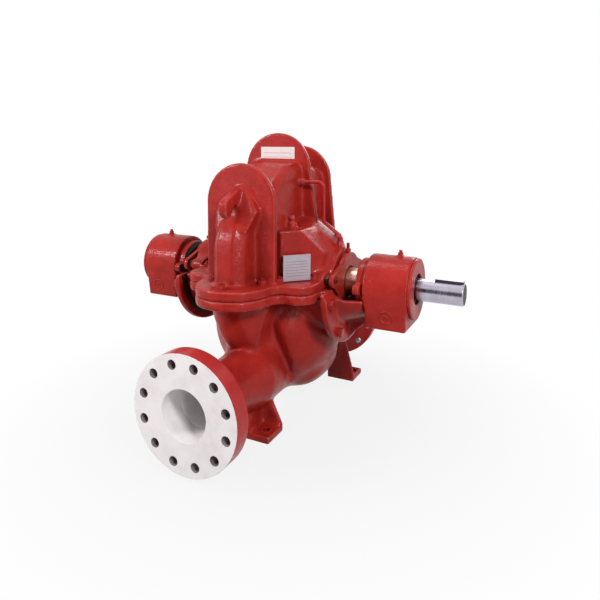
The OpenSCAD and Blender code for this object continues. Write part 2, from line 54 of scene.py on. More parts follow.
# Studio: a camera at the photograph's viewing angle, a pale paper floor and soft window-like lamps.
# The lens and the standing point were solved from the flange holes, the shaft and the feet.
# A dark felt wall behind the camera stands for the room that the gloss paint reflects.
CENTRE = -0.0515
CAMERA_RIGHT = (0.89596924, 0.44409810, 0.00400103)
CAMERA_UP = (-0.04595030, 0.08373672, 0.99542791)
CAMERA_BACK = (0.44173261, -0.89205664, 0.09543197)
CAMERA_PLACE = (0.9342378 + CENTRE, -1.7196776, 0.9470640)
FLOOR_HALF = 9.0
WALL_X = (-1.4, 3.0)
WALL_Y = -2.7
WALL_TOP = 2.0


def linear(code):
    """Turns an sRGB hex colour into linear RGBA by the sRGB curve of each channel."""
    channels = np.array([int(code[i:i + 2], 16) for i in (1, 3, 5)]) / 255
    curve = np.where(channels <= 0.04045, channels / 12.92, ((channels + 0.055) / 1.055) ** 2.4)
    return (*curve.tolist(), 1.0)


def add_node(tree, kind, settings=None, links=None):
    """Adds one shader node, sets its inputs or properties by name and links inputs to outputs."""
    node = tree.nodes.new(kind)
    for name, value in (settings or {}).items():
        if isinstance(name, int) or name in node.inputs:
            node.inputs[name].default_value = value
        else:
            setattr(node, name, value)
    for name, output in (links or {}).items():
        tree.links.new(output, node.inputs[name])
    return node


def seen_share(tree):
    """One for rays from the camera, off a gloss or through glass; nothing for rays that carry light."""
    path = add_node(tree, "ShaderNodeLightPath")
    direct = add_node(tree, "ShaderNodeMath", {"operation": "MAXIMUM"},
                      {0: path.outputs["Is Camera Ray"], 1: path.outputs["Is Glossy Ray"]})
    seen = add_node(tree, "ShaderNodeMath", {"operation": "MAXIMUM"},
                    {0: direct.outputs[0], 1: path.outputs["Is Transmission Ray"]})
    return seen.outputs[0]


def new_material(name):
    """Starts an empty node material and returns it with its node tree."""
    material = bpy.data.materials.new(name)
    material.use_nodes = True
    material.node_tree.nodes.clear()
    return material, material.node_tree


def new_object(name, mesh):
    """Puts a mesh into the scene as an object at the origin."""
    piece = bpy.data.objects.new(name, mesh)
    bpy.context.scene.collection.objects.link(piece)
    return piece


def stand(right, up, back, place):
    """Placing matrix whose columns are the right, up and back directions and the place."""
    turn = np.eye(4)
    turn[:3] = np.stack((right, up, back, place), axis=1)
    return Matrix(turn.tolist())


def softbox(name, place, aim, width, height, watts):
    """Adds a rectangular lamp at a place, turned so that it faces the aim point."""
    lamp = bpy.data.lights.new(name, "AREA")
    lamp.shape = "RECTANGLE"
    lamp.size = width
    lamp.size_y = height
    lamp.energy = watts
    holder = bpy.data.objects.new(name, lamp)
    ahead = np.array(aim, float) - np.array(place, float)
    back = -ahead / np.linalg.norm(ahead)
    side = np.cross((0, 0, 1), back)
    side /= np.linalg.norm(side)
    holder.matrix_world = stand(side, np.cross(back, side), back, place)
    bpy.context.scene.collection.objects.link(holder)


camera_data = bpy.data.cameras.new("camera")
camera_data.sensor_width = 36
camera_data.lens = 32.8645
camera_data.shift_x = -0.0005
camera_data.shift_y = -0.17227
camera = bpy.data.objects.new("camera", camera_data)
camera.matrix_world = stand(CAMERA_RIGHT, CAMERA_UP, CAMERA_BACK, CAMERA_PLACE)
bpy.context.scene.collection.objects.link(camera)
bpy.context.scene.camera = camera
bpy.context.scene.view_settings.view_transform = "Standard"

paper, tree = new_material("white_backdrop_paper")
place = add_node(tree, "ShaderNodeTexCoord")
away = add_node(tree, "ShaderNodeVectorMath", {"operation": "LENGTH"}, {0: place.outputs["Object"]})
whiter = add_node(tree, "ShaderNodeMapRange",
                  {"From Min": 0.4, "From Max": 1.1, "To Min": 0.86, "To Max": 1.0},
                  {"Value": away.outputs["Value"]})
part_glow = add_node(tree, "ShaderNodeMath", {"operation": "MULTIPLY"},
                     {0: seen_share(tree), 1: whiter.outputs["Result"]})
matt = add_node(tree, "ShaderNodeBsdfDiffuse", {"Color": linear("#9A9A9A")})
glow = add_node(tree, "ShaderNodeEmission", {"Color": (1, 1, 1, 1), "Strength": 1.0})
sheet = add_node(tree, "ShaderNodeMixShader", None,
                 {0: part_glow.outputs[0], 1: matt.outputs[0], 2: glow.outputs[0]})
add_node(tree, "ShaderNodeOutputMaterial", None, {"Surface": sheet.outputs[0]})
floor_mesh = bpy.data.meshes.new("studio_floor")
floor_mesh.from_pydata([(-FLOOR_HALF, -FLOOR_HALF, 0), (FLOOR_HALF, -FLOOR_HALF, 0),
                        (FLOOR_HALF, FLOOR_HALF, 0), (-FLOOR_HALF, FLOOR_HALF, 0)], [], [(0, 1, 2, 3)])
floor_mesh.materials.append(paper)
studio_floor = new_object("studio_floor", floor_mesh)

world = bpy.data.worlds.new("studio_air")
bpy.context.scene.world = world
world.use_nodes = True
tree = world.node_tree
tree.nodes.clear()
air = add_node(tree, "ShaderNodeBackground", {"Color": (1, 1, 1, 1), "Strength": 0.20})
white = add_node(tree, "ShaderNodeBackground", {"Color": (1, 1, 1, 1), "Strength": 1.0})
both = add_node(tree, "ShaderNodeMixShader", None,
                {0: seen_share(tree), 1: air.outputs[0], 2: white.outputs[0]})
add_node(tree, "ShaderNodeOutputWorld", None, {"Surface": both.outputs[0]})

softbox("left_window", (-2.2, -2.3, 2.1), (0, 0, 0.45), 0.8, 0.8, 68)
softbox("low_left_window", (-1.9, -3.0, 0.8), (0, 0, 0.6), 1.1, 0.9, 6)
softbox("left_strip", (-1.2, -3.2, 0.8), (0, 0, 0.5), 0.10, 1.4, 8)
softbox("right_window", (2.5, -1.9, 2.6), (0, 0, 0.45), 0.6, 0.6, 86)
softbox("right_strip", (2.3, -2.1, 0.75), (0, 0, 0.5), 0.10, 1.4, 10)
softbox("back_window", (0.5, 3.2, 2.2), (0, 0, 0.45), 1.6, 1.2, 40)
softbox("top_window", (-0.6, 0.1, 3.0), (0, 0, 0.5), 0.9, 0.6, 14)

felt, tree = new_material("dark_grey_felt")
matt = add_node(tree, "ShaderNodeBsdfDiffuse", {"Color": linear("#3A3A3E")})
add_node(tree, "ShaderNodeOutputMaterial", None, {"Surface": matt.outputs[0]})
wall_mesh = bpy.data.meshes.new("dark_room_wall")
wall_mesh.from_pydata([(WALL_X[0], WALL_Y, 0.0), (WALL_X[1], WALL_Y, 0.0), (WALL_X[1], WALL_Y, WALL_TOP),
                       (WALL_X[0], WALL_Y, WALL_TOP)], [], [(3, 2, 1, 0)])
wall_mesh.materials.append(felt)
dark_wall = new_object("dark_room_wall", wall_mesh)
dark_wall.visible_camera = False
dark_wall.visible_shadow = False

# Red enamel: two-pack gloss paint sprayed over fettled grey iron castings and the bolts on them.
# The sand-cast skin shows through as a low pebble, the gloss adds a pale sheen, and the paint thins to
# a lighter red on outer edges, bright enough to be a painted highlight too; painted shade darkens it in
# nooks.


def red_enamel(name, tone, deep, edge, pebble_mm, pebble_height, gloss):
    """Gloss paint: the colour drifts over 90 mm patches and lightens on edges, where the surface is
    pointed, for paint worn thin and as a painted highlight; painted shade darkens it in nooks closed in
    within 70 mm.
    It has 28 mm waves and pebbles of a given size and height in millimetres, and its gloss drifts with the
    waves."""
    material, tree = new_material(name)
    place = add_node(tree, "ShaderNodeTexCoord")
    drift = add_node(tree, "ShaderNodeTexNoise", {"Scale": 1 / 0.09, "Detail": 6.0, "Roughness": 0.7},
                     {"Vector": place.outputs["Object"]})
    patches = add_node(tree, "ShaderNodeMapRange", {"From Min": 0.35, "From Max": 0.68},
                       {"Value": drift.outputs["Fac"]})
    body = add_node(tree, "ShaderNodeMixRGB", {"Color1": linear(deep), "Color2": linear(tone)},
                    {"Fac": patches.outputs["Result"]})
    shape = add_node(tree, "ShaderNodeNewGeometry")
    # Edge colour where the surface is pointed: paint worn thin, and a painted highlight.
    edge_wear_and_highlight = add_node(tree, "ShaderNodeMapRange",
                     {"From Min": 0.53, "From Max": 0.62, "To Min": 0.0, "To Max": 0.8},
                     {"Value": shape.outputs["Pointiness"]})
    marked_colour = add_node(tree, "ShaderNodeMixRGB", {"Color2": linear(edge)},
                    {"Fac": edge_wear_and_highlight.outputs["Result"], "Color1": body.outputs["Color"]})
    # Painted shade: the colour darkens toward a dark red in nooks closed in within 70 mm.
    nook = add_node(tree, "ShaderNodeAmbientOcclusion",
                    {"samples": 8, "only_local": True, "Distance": 0.07})
    open_share = add_node(tree, "ShaderNodeMapRange",
                          {"From Min": 0.25, "From Max": 0.85, "To Min": 0.35, "To Max": 1.0},
                          {"Value": nook.outputs["AO"]})
    painted_nook_shade = add_node(tree, "ShaderNodeMixRGB", {"Color1": linear("#3A0B08")},
                     {"Fac": open_share.outputs["Result"], "Color2": marked_colour.outputs["Color"]})
    pebble = add_node(tree, "ShaderNodeTexNoise",
                      {"Scale": 1000 / pebble_mm, "Detail": 3.0, "Roughness": 0.55},
                      {"Vector": place.outputs["Object"]})
    runs = add_node(tree, "ShaderNodeTexNoise", {"Scale": 1 / 0.028, "Detail": 2.0},
                    {"Vector": place.outputs["Object"]})
    waves = add_node(tree, "ShaderNodeBump", {"Strength": 0.5, "Distance": 0.0026},
                     {"Height": runs.outputs["Fac"]})
    skin = add_node(tree, "ShaderNodeBump", {"Strength": 0.6, "Distance": pebble_height / 1000},
                    {"Height": pebble.outputs["Fac"], "Normal": waves.outputs["Normal"]})
    dull = add_node(tree, "ShaderNodeMapRange",
                    {"From Min": 0.3, "From Max": 0.7, "To Min": gloss - 0.06, "To Max": gloss + 0.1},
                    {"Value": runs.outputs["Fac"]})
    shader = add_node(tree, "ShaderNodeBsdfPrincipled",
                      {"IOR": 1.5, "Specular IOR Level": 0.08, "Specular Tint": (0.95, 0.82, 1.0, 1.0),
                       "Coat Weight": 0.15, "Coat Roughness": 0.11, "Coat IOR": 1.5},
                      {"Base Color": painted_nook_shade.outputs["Color"], "Roughness": dull.outputs["Result"],
                       "Normal": skin.outputs["Normal"], "Coat Normal": skin.outputs["Normal"]})
    add_node(tree, "ShaderNodeOutputMaterial", None, {"Surface": shader.outputs["BSDF"]})
    return material


# The third colour of each enamel is its edge colour: paint worn thin, and a painted highlight.
cast_enamel = red_enamel("red_enamel_on_cast_iron", "#AE2C25", "#98211A", "#DB8A8C", 8.0, 1.5, 0.32)
smooth_enamel = red_enamel("red_enamel_on_turned_iron", "#B72A29", "#A62421", "#CE6264", 4.0, 0.22, 0.28)
# Nuts, bolts and small fittings get a darker copy of the red with dull edges: painted shade.
shaded_enamel = red_enamel("red_enamel_painted_shade_on_fasteners", "#A62823", "#8C1D18", "#AE332F", 4.0, 0.22, 0.34)

# Pale epoxy: the coating of the water side, sprayed on the flange faces and into the nozzle bores. It gives
# a soft off-white with faint stains and a fine orange peel; the bolt holes get a darker grey of it as
# painted shade.


def coat(name, tone, stain, gloss):
    """Sprayed epoxy: a pale tone with faint 60 mm stains and a fine 3 mm orange peel."""
    material, tree = new_material(name)
    place = add_node(tree, "ShaderNodeTexCoord")
    cloud = add_node(tree, "ShaderNodeTexNoise", {"Scale": 1 / 0.06, "Detail": 5.0, "Roughness": 0.6},
                     {"Vector": place.outputs["Object"]})
    spread = add_node(tree, "ShaderNodeMapRange", {"From Min": 0.42, "From Max": 0.75},
                      {"Value": cloud.outputs["Fac"]})
    tint = add_node(tree, "ShaderNodeMixRGB", {"Color1": linear(tone), "Color2": linear(stain)},
                    {"Fac": spread.outputs["Result"]})
    peel = add_node(tree, "ShaderNodeTexNoise", {"Scale": 1 / 0.003, "Detail": 2.0},
                    {"Vector": place.outputs["Object"]})
    bump = add_node(tree, "ShaderNodeBump", {"Strength": 0.25, "Distance": 0.0003},
                    {"Height": peel.outputs["Fac"]})
    shader = add_node(tree, "ShaderNodeBsdfPrincipled", {"Roughness": gloss, "IOR": 1.5},
                      {"Base Color": tint.outputs["Color"], "Normal": bump.outputs["Normal"]})
    add_node(tree, "ShaderNodeOutputMaterial", None, {"Surface": shader.outputs["BSDF"]})
    return material


face_coat = coat("off_white_epoxy", "#EFE9EA", "#E2D8DA", 0.5)
bore_coat = coat("grey_white_epoxy", "#EEEAEA", "#E0DADA", 0.55)
# The darker grey for the bolt holes is painted shade.
hole_shade_coat = coat("grey_epoxy_painted_shade", "#8E8588", "#5E5558", 0.5)

# Lower casing: the volute bowl with both nozzles, the feet and the lower half of the parting flange.
# It is one grey iron casting, poured in sand, so inner corners are filleted and outer edges broken by
# fettling. The lobe of the suction passage hangs under the bowl; bores and joint faces are machined.
NOZZLE_Z = 0.194
DISCHARGE_BORE = 0.0762
SUCTION_BORE = 0.1016
BORE_START = 0.25
BORE_SLACK = 0.006
FOOT_HOLES = [(CENTRE + x, y)
              for x, y in ((0.083, -0.244), (-0.083, -0.244), (0.168, 0.326), (-0.168, 0.326))]
FOOT_HOLE_R = 0.0135
FOOT_HOLE_NEAR = 0.0150
FOOT_PAD_TOP = 0.035
FILL_SHARE = 0.5
LOBE_HALF = (0.190, 0.155, 0.150)
LOBE_MIDDLE = (CENTRE, 0.040, 0.227)
LOBE_POWER = 3.0
SEAM_STEPS = 150
SEAM_MIDDLE = 1.05
SEAM_FADE = 0.2
SEAM_LEVELS = (0.30, 0.38)
NECK_LEAST = 0.082
THROAT_FADE = 0.14
THROAT_ENDS = (-0.43, -0.39, -0.26, -0.16)
VALLEY_LEVEL = 0.330
VALLEY_SPREAD = 6.5
VALLEY_INNER = 0.12
VALLEY_FADE = 0.05
VALLEYS = ((23, 100, 0.022, (0.13, 0.19, 0.41, 0.445)),
           (-14, 180, 0.016, (0.27, 0.30, 0.41, 0.445)))
ROUND_SIDES = 48


def ring_net(radii, heights, loop=False):
    """Surface of rings: row i has radius radii[i] and height heights[i] at evenly spaced angles, each a
    number or one value per angle. The ends are closed by flat caps, or joined to each other in a loop."""
    rows = len(radii)
    columns = max(np.size(r) for r in (*radii, *heights))
    columns = columns if columns > 1 else ROUND_SIDES
    turn = np.linspace(0, 2 * np.pi, columns, endpoint=False)
    reach = np.array([np.broadcast_to(r, columns) for r in radii])
    level = np.array([np.broadcast_to(h, columns) for h in heights])
    points = np.stack((reach * np.cos(turn), reach * np.sin(turn), level), axis=2).reshape(-1, 3)
    index = np.arange(rows * columns).reshape(rows, columns)
    below = index if loop else index[:-1]
    above = np.roll(index, -1, axis=0) if loop else index[1:]
    quads = np.stack((below, np.roll(below, -1, axis=1), np.roll(above, -1, axis=1), above), axis=2)
    faces = quads.reshape(-1, 4).tolist()
    if not loop:
        faces.append(index[0, ::-1].tolist())
        faces.append(index[-1].tolist())
    return points, faces


def rounded_block(half, power):
    """Block with soft edges, the suction passage's outer form: it ends where the shares of its half sizes
    in X, Y and Z, each raised to the power, add up to one."""
    turn = np.linspace(0, 2 * np.pi, 120, endpoint=False)
    outline = ((np.abs(np.cos(turn)) / half[0]) ** power
               + (np.abs(np.sin(turn)) / half[1]) ** power) ** (-1 / power)
    level = np.cos(np.linspace(np.pi, 0, 41))[1:-1]
    radii = [outline * (1 - abs(share) ** power) ** (1 / power) for share in level]
    return ring_net(radii, half[2] * level)


def merged_copy(node):
    """Copy of a CAD node's mesh without materials, and an edit net of it with its doubles merged."""
    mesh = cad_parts[node].data.copy()
    mesh.materials.clear()
    weld = bmesh.new()
    weld.from_mesh(mesh)
    bmesh.ops.remove_doubles(weld, verts=weld.verts, dist=1e-6)
    return mesh, weld


def give_finish(mesh, materials, choose):
    """Gives a mesh its materials and smooth shading. Where choose is given, it picks a material index from
    each face's centre and normal."""
    mesh.materials.clear()
    for material in materials:
        mesh.materials.append(material)
    count = len(mesh.polygons)
    mesh.polygons.foreach_set("use_smooth", np.ones(count, bool))
    if choose:
        centres = np.empty(count * 3)
        mesh.polygons.foreach_get("center", centres)
        normals = np.empty(count * 3)
        mesh.polygons.foreach_get("normal", normals)
        finish = choose(centres.reshape(-1, 3), normals.reshape(-1, 3))
        mesh.polygons.foreach_set("material_index", finish.astype(np.int32))


def cast_skin(node, voxel, fillet_steps, edge_share, materials, choose=None, holes=(), shape=None,
              lobe=None, seam=None):
    """Gives a CAD casting its sand-cast skin.
    The copy is merged, joined with a lobe if one is given, and remeshed to an even net. In each step a
    vertex moves half way to the mean of its neighbours where the surface is hollow, so inner corners fill
    to fillets, and only a small share of that way where it bulges, so outer edges are just broken. With a
    seam, further steps fill hollows by the share that it gives for each point. Then shape may move the
    points, and those near a foot hole are pushed out to a round wall."""
    mesh, weld = merged_copy(node)
    if lobe:
        bulge = bpy.data.meshes.new(node + "_lobe")
        bulge.from_pydata(lobe[0].tolist(), [], lobe[1])
        weld.from_mesh(bulge)
        bpy.data.meshes.remove(bulge)
    weld.to_mesh(mesh)
    weld.free()
    blank = new_object(node + "_blank", mesh)
    net = blank.modifiers.new("net", "REMESH")
    net.mode = "VOXEL"
    net.voxel_size = voxel
    graph = bpy.context.evaluated_depsgraph_get()
    skin = bpy.data.meshes.new_from_object(blank.evaluated_get(graph))
    bpy.data.objects.remove(blank)
    bpy.data.meshes.remove(mesh)
    count = len(skin.vertices)
    points = np.empty(count * 3)
    skin.vertices.foreach_get("co", points)
    points = points.reshape(-1, 3)
    edges = np.empty(len(skin.edges) * 2, np.int64)
    skin.edges.foreach_get("vertices", edges)
    start = np.concatenate((edges[0::2], edges[1::2]))
    end = np.concatenate((edges[1::2], edges[0::2]))
    valence = np.maximum(np.bincount(start, minlength=count), 1)[:, None]
    corners = np.empty(len(skin.loops), np.int64)
    skin.loops.foreach_get("vertex_index", corners)
    quads = corners.reshape(-1, 4)
    fill = FILL_SHARE
    for step in range(fillet_steps + (SEAM_STEPS if seam else 0)):
        if step == fillet_steps:
            fill = FILL_SHARE * seam(points)[:, None]
            edge_share = 0
        across = points[quads[:, 2]] - points[quads[:, 0]]
        along = points[quads[:, 3]] - points[quads[:, 1]]
        facing = np.cross(across, along)
        normals = np.stack([np.bincount(quads.ravel(), np.repeat(facing[:, i], 4), count)
                            for i in range(3)], axis=1)
        normals /= np.maximum(np.linalg.norm(normals, axis=1, keepdims=True), 1e-12)
        mean = np.stack([np.bincount(start, points[end, i], count) for i in range(3)], axis=1) / valence
        pull = mean - points
        hollow = np.sum(pull * normals, axis=1, keepdims=True) > 0
        points = points + pull * np.where(hollow, fill, edge_share)
    if shape:
        points = shape(points)
    for hole in holes:
        spoke = points[:, :2] - np.array(hole)
        reach = np.linalg.norm(spoke, axis=1)
        near = (reach < FOOT_HOLE_NEAR) & (points[:, 2] < FOOT_PAD_TOP)
        wider = FOOT_HOLE_R / np.maximum(reach[near], 1e-6)
        points[near, :2] = np.array(hole) + spoke[near] * wider[:, None]
    skin.vertices.foreach_set("co", points.ravel())
    skin.update()
    give_finish(skin, materials, choose)
    piece = new_object(node + "_cast", skin)
    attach(piece, "casing")
    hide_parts(node)
    return piece


def lobe_seam(points):
    """Share of extra filling along the line where the lobe leaves the bowl: it falls from one to nothing
    as the sum that defines the lobe's surface departs from one, and it ends below the parting flange."""
    away = np.abs(points - np.array(LOBE_MIDDLE)) / np.array(LOBE_HALF)
    share = np.sum(away ** LOBE_POWER, axis=1) ** (1 / LOBE_POWER)
    close = np.clip(1.3 - np.abs(share - SEAM_MIDDLE) / SEAM_FADE, 0, 1)
    return close * np.interp(points[:, 2], SEAM_LEVELS, (1, 0))


def casing_finish(centres, normals):
    """Index 1, the pale coat, on the walls of both nozzle bores, which face their own axis, and on the
    blind ends; index 0 elsewhere."""
    across = centres[:, 0] - CENTRE
    above = centres[:, 2] - NOZZLE_Z
    inward = across * normals[:, 0] + above * normals[:, 2] < 0.0005
    wall = np.where(centres[:, 1] < 0, DISCHARGE_BORE, SUCTION_BORE)
    inside = np.hypot(across, above) < wall + BORE_SLACK
    return inside & (np.abs(centres[:, 1]) > BORE_START) & inward


def throat_shape(points):
    """Narrows the throat where the discharge nozzle leaves the volute, on its free upper side: the reach
    from the nozzle axis beyond the neck, as a share of 140 mm, becomes its square, faded by direction
    and by depth behind the flange."""
    across = points[:, 0] - CENTRE
    above = points[:, 2] - NOZZLE_Z
    reach = np.maximum(np.hypot(across, above), 1e-6)
    facing = np.clip(((above - across) / reach * math.sqrt(0.5) - 0.5) / 0.4, 0, 1)
    depth = np.interp(points[:, 1], THROAT_ENDS, (0, 1, 1, 0))
    share = np.clip((reach - NECK_LEAST) / THROAT_FADE, 0, 1)
    closer = reach - facing * depth * THROAT_FADE * (share - share ** 2)
    moved = points.copy()
    moved[:, 0] = CENTRE + across * closer / reach
    moved[:, 2] = NOZZLE_Z + above * closer / reach
    return moved


def volute_shape(points):
    """Narrows the throat, then presses two shallow valleys into the front of the bowl beside the discharge
    volute: the depth is a bell curve of the angle from each valley's line, which leans with height, and it
    fades near the parting flange, near the nozzle and towards the shaft."""
    moved = throat_shape(points)
    across = moved[:, 0] - CENTRE
    level = moved[:, 2]
    reach = np.maximum(np.hypot(across, moved[:, 1]), 1e-6)
    turn = np.degrees(np.arctan2(across, -moved[:, 1]))
    cut = np.zeros(len(points))
    for middle, lean, depth, ends in VALLEYS:
        line = middle + lean * (VALLEY_LEVEL - level)
        bell = np.exp(-((turn - line) / VALLEY_SPREAD) ** 2)
        cut += depth * bell * np.interp(level, ends, (0, 1, 1, 0))
    closer = 1 - cut * np.clip((reach - VALLEY_INNER) / VALLEY_FADE, 0, 1) / reach
    moved[:, 0] = CENTRE + across * closer
    moved[:, 1] *= closer
    return moved


lobe_points, lobe_faces = rounded_block(LOBE_HALF, LOBE_POWER)
suction_lobe = (lobe_points + np.array(LOBE_MIDDLE), lobe_faces)
cast_skin("lower_casing", voxel=0.0052, fillet_steps=32, edge_share=0.04,
          materials=(cast_enamel, bore_coat), choose=casing_finish, holes=FOOT_HOLES,
          shape=volute_shape, lobe=suction_lobe, seam=lobe_seam)

# Upper casing: the volute cover with its three round-topped ribs, the nose and the suction domes.
# It is the second grey iron casting, bolted down on the parting flange and painted in place.
cast_skin("upper_casing", voxel=0.0045, fillet_steps=22, edge_share=0.06, materials=(cast_enamel,))

# Bearing brackets, housings, covers and glands: grey iron castings bolted to the hubs on both sides.
# The brackets carry drip troughs wet with oil; the troughs' insides, the covers' bores and the hidden faces
# that look back at the casing are near black, for oil and as painted shade, while the rest is painted with
# the pump.
SHAFT_Z = 0.482
TROUGH_R = 0.132
BRACKET_R = 0.185
COVER_BORE_R = 0.062


def facing_shaft(centres, normals, lean):
    """Reach of each face from the shaft's line, whether it looks at the shaft by more than the lean, and
    whether it looks back at the casing."""
    above = centres[:, 2] - SHAFT_Z
    reach = np.hypot(centres[:, 1], above)
    inward = centres[:, 1] * normals[:, 1] + above * normals[:, 2] < -lean * reach
    back = normals[:, 0] * np.sign(centres[:, 0] - CENTRE) < -0.6
    return reach, inward, back


def trough_oil_and_shade(centres, normals):
    """Index 1, near black: oil and painted shade on faces of the drip troughs that look towards the shaft,
    and painted shade on the hidden faces that look back at the casing; index 0 elsewhere."""
    reach, inward, back = facing_shaft(centres, normals, 0.4)
    return (inward & (reach < TROUGH_R)) | (back & (reach < BRACKET_R))


def cover_oil_and_shade(centres, normals):
    """Index 1, near black for oil and as painted shade, on faces of a bearing cover that look at the shaft
    from close by or back at the casing; index 0 elsewhere."""
    reach, inward, back = facing_shaft(centres, normals, 0.3)
    return (inward & (reach < COVER_BORE_R)) | back


def dark_skin(name, tone, haze, gloss, metal):
    """Nearly black skin with a faint brown drift over 12 mm and a soft gloss, for oily and black-oxide
    steel and for painted shade.
    """
    material, tree = new_material(name)
    place = add_node(tree, "ShaderNodeTexCoord")
    drift = add_node(tree, "ShaderNodeTexNoise", {"Scale": 1 / 0.012, "Detail": 4.0},
                     {"Vector": place.outputs["Object"]})
    tint = add_node(tree, "ShaderNodeMixRGB", {"Color1": linear(tone), "Color2": linear(haze)},
                    {"Fac": drift.outputs["Fac"]})
    bump = add_node(tree, "ShaderNodeBump", {"Strength": 0.3, "Distance": 0.0003},
                    {"Height": drift.outputs["Fac"]})
    shader = add_node(tree, "ShaderNodeBsdfPrincipled", {"Metallic": metal, "Roughness": gloss},
                      {"Base Color": tint.outputs["Color"], "Normal": bump.outputs["Normal"]})
    add_node(tree, "ShaderNodeOutputMaterial", None, {"Surface": shader.outputs["BSDF"]})
    return material


# Near black: oil in the troughs, and painted shade on hidden faces and around the shaft bores.
oil_and_shade_black = dark_skin("oily_trough_and_painted_shade", "#150B0A", "#2A1311", 0.55, 0.0)
for side in ("left", "right"):
    cast_skin("bearing_bracket_" + side, 0.0034, 14, 0.08, (cast_enamel, oil_and_shade_black), trough_oil_and_shade)
    cast_skin("bearing_housing_" + side, 0.0032, 10, 0.26, (cast_enamel,))
    cast_skin("inboard_cover_" + side, 0.0026, 8, 0.12, (cast_enamel, oil_and_shade_black), cover_oil_and_shade)
    cast_skin("outboard_cover_" + side, 0.0026, 6, 0.12, (cast_enamel, oil_and_shade_black), cover_oil_and_shade)
    cast_skin("gland_" + side, 0.0026, 8, 0.12, (cast_enamel,))

# Nozzle flanges: turned on the face, the rim and the back, drilled with twelve holes each.
# The rim and back are painted with the pump, while the joint face keeps the pale epoxy of the bore and the
# holes a darker grey of it as painted shade. A fillet runs from the back of each flange into its nozzle.
NOZZLE_FACE = 0.560
FILLET_R = 0.016
COLLAR_LENGTH = 0.085
COLLAR_PROUD = 0.0014
COLLAR_DIVE = 0.004


def machined_copy(node, suffix, body, materials, bevel, choose=None):
    """Copies a turned or milled CAD part, merges its triangles into whole faces, gives it its finish and
    breaks the sharp edges with a narrow bevel."""
    mesh, weld = merged_copy(node)
    bmesh.ops.dissolve_limit(weld, angle_limit=math.radians(0.5), verts=weld.verts, edges=weld.edges)
    weld.to_mesh(mesh)
    weld.free()
    give_finish(mesh, materials, choose)
    mesh.set_sharp_from_angle(angle=math.radians(32))
    piece = new_object(node + suffix, mesh)
    edge = piece.modifiers.new("broken_edges", "BEVEL")
    edge.width = bevel
    edge.segments = 2
    edge.limit_method = "ANGLE"
    edge.angle_limit = math.radians(40)
    edge.harden_normals = True
    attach(piece, body)
    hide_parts(node)
    return piece


def flange_finish(centres, normals):
    """Index 0 is red enamel, 1 the joint face, 2 the bore and 3 the painted shade of the bolt holes, whose
    walls run along Y.
    """
    across = centres[:, 0] - CENTRE
    above = centres[:, 2] - NOZZLE_Z
    reach = np.hypot(across, above)
    rim = reach.max()
    face = np.abs(centres[:, 1]) > NOZZLE_FACE - 0.0005
    inward = across * normals[:, 0] + above * normals[:, 2] < 0
    wall = np.abs(normals[:, 1]) < 0.1
    bore = wall & inward & (reach < rim * 0.55)
    hole = wall & (reach > rim * 0.70) & (reach < rim * 0.97)
    return np.where(face, 1, np.where(bore, 2, np.where(hole, 3, 0)))


def set_at(part, place, axis, spin=0.0):
    """Turns a part that stands along Z so that it stands along axis, spins it about that axis in degrees
    and moves its foot to a place given in metres."""
    points, faces = part
    axis = np.array(axis, float) / np.linalg.norm(axis)
    rest = (0, 0, 1) if abs(axis[2]) < 0.9 else (1, 0, 0)
    side = np.cross(rest, axis)
    side /= np.linalg.norm(side)
    up = np.cross(axis, side)
    angle = math.radians(spin)
    first = side * math.cos(angle) + up * math.sin(angle)
    second = np.cross(axis, first)
    return points @ np.stack((first, second, axis)) + np.array(place, float), faces


def hardware(name, parts, material, body="casing", sharp=30):
    """Joins parts into one smooth-shaded piece with creases at the angle sharp, riding on a body."""
    points = []
    faces = []
    start = 0
    for part_points, part_faces in parts:
        points.append(part_points)
        faces.extend([[corner + start for corner in face] for face in part_faces])
        start += len(part_points)
    mesh = bpy.data.meshes.new(name)
    mesh.from_pydata(np.concatenate(points).tolist(), [], faces)
    mesh.polygons.foreach_set("use_smooth", np.ones(len(mesh.polygons), bool))
    mesh.set_sharp_from_angle(angle=math.radians(sharp))
    mesh.materials.append(material)
    piece = new_object(name, mesh)
    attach(piece, body)
    return piece


def neck_fillet(wall_r, fillet, length):
    """Collar over a nozzle: a quarter-round fillet from the flange back, a straight run just proud of the
    casting, and a taper that dives back under its skin."""
    sweep = np.linspace(0, np.pi / 2, 9)
    proud = wall_r + COLLAR_PROUD
    under = wall_r - COLLAR_DIVE
    radii = [under, *(proud + fillet * (1 - np.sin(sweep))), proud, wall_r + 0.0006, under]
    heights = [-0.001, *(fillet * (1 - np.cos(sweep)) - 0.0005), length * 0.6, length * 0.85, length]
    return ring_net([np.full(96, r) for r in radii], heights, loop=True)


for node in ("discharge_flange", "suction_flange"):
    machined_copy(node, "_painted", "casing",
                  (smooth_enamel, face_coat, bore_coat, hole_shade_coat), 0.0012, flange_finish)
for name, neck_r, back_y, way in (("discharge", 0.0922, -0.504, 1), ("suction", 0.1176, 0.518, -1)):
    collar = set_at(neck_fillet(neck_r, FILLET_R, COLLAR_LENGTH), (CENTRE, back_y, NOZZLE_Z), (0, way, 0))
    hardware(name + "_neck_fillet", [collar], cast_enamel)

# Rotor: a ground carbon steel shaft with a fitted key, and bronze sleeves through the boxes.
# The shaft shows fine rings from grinding and a dark end face; the key's sides are painted shade; the
# sleeves are turned.
DARK_END_DEPTH = 0.02


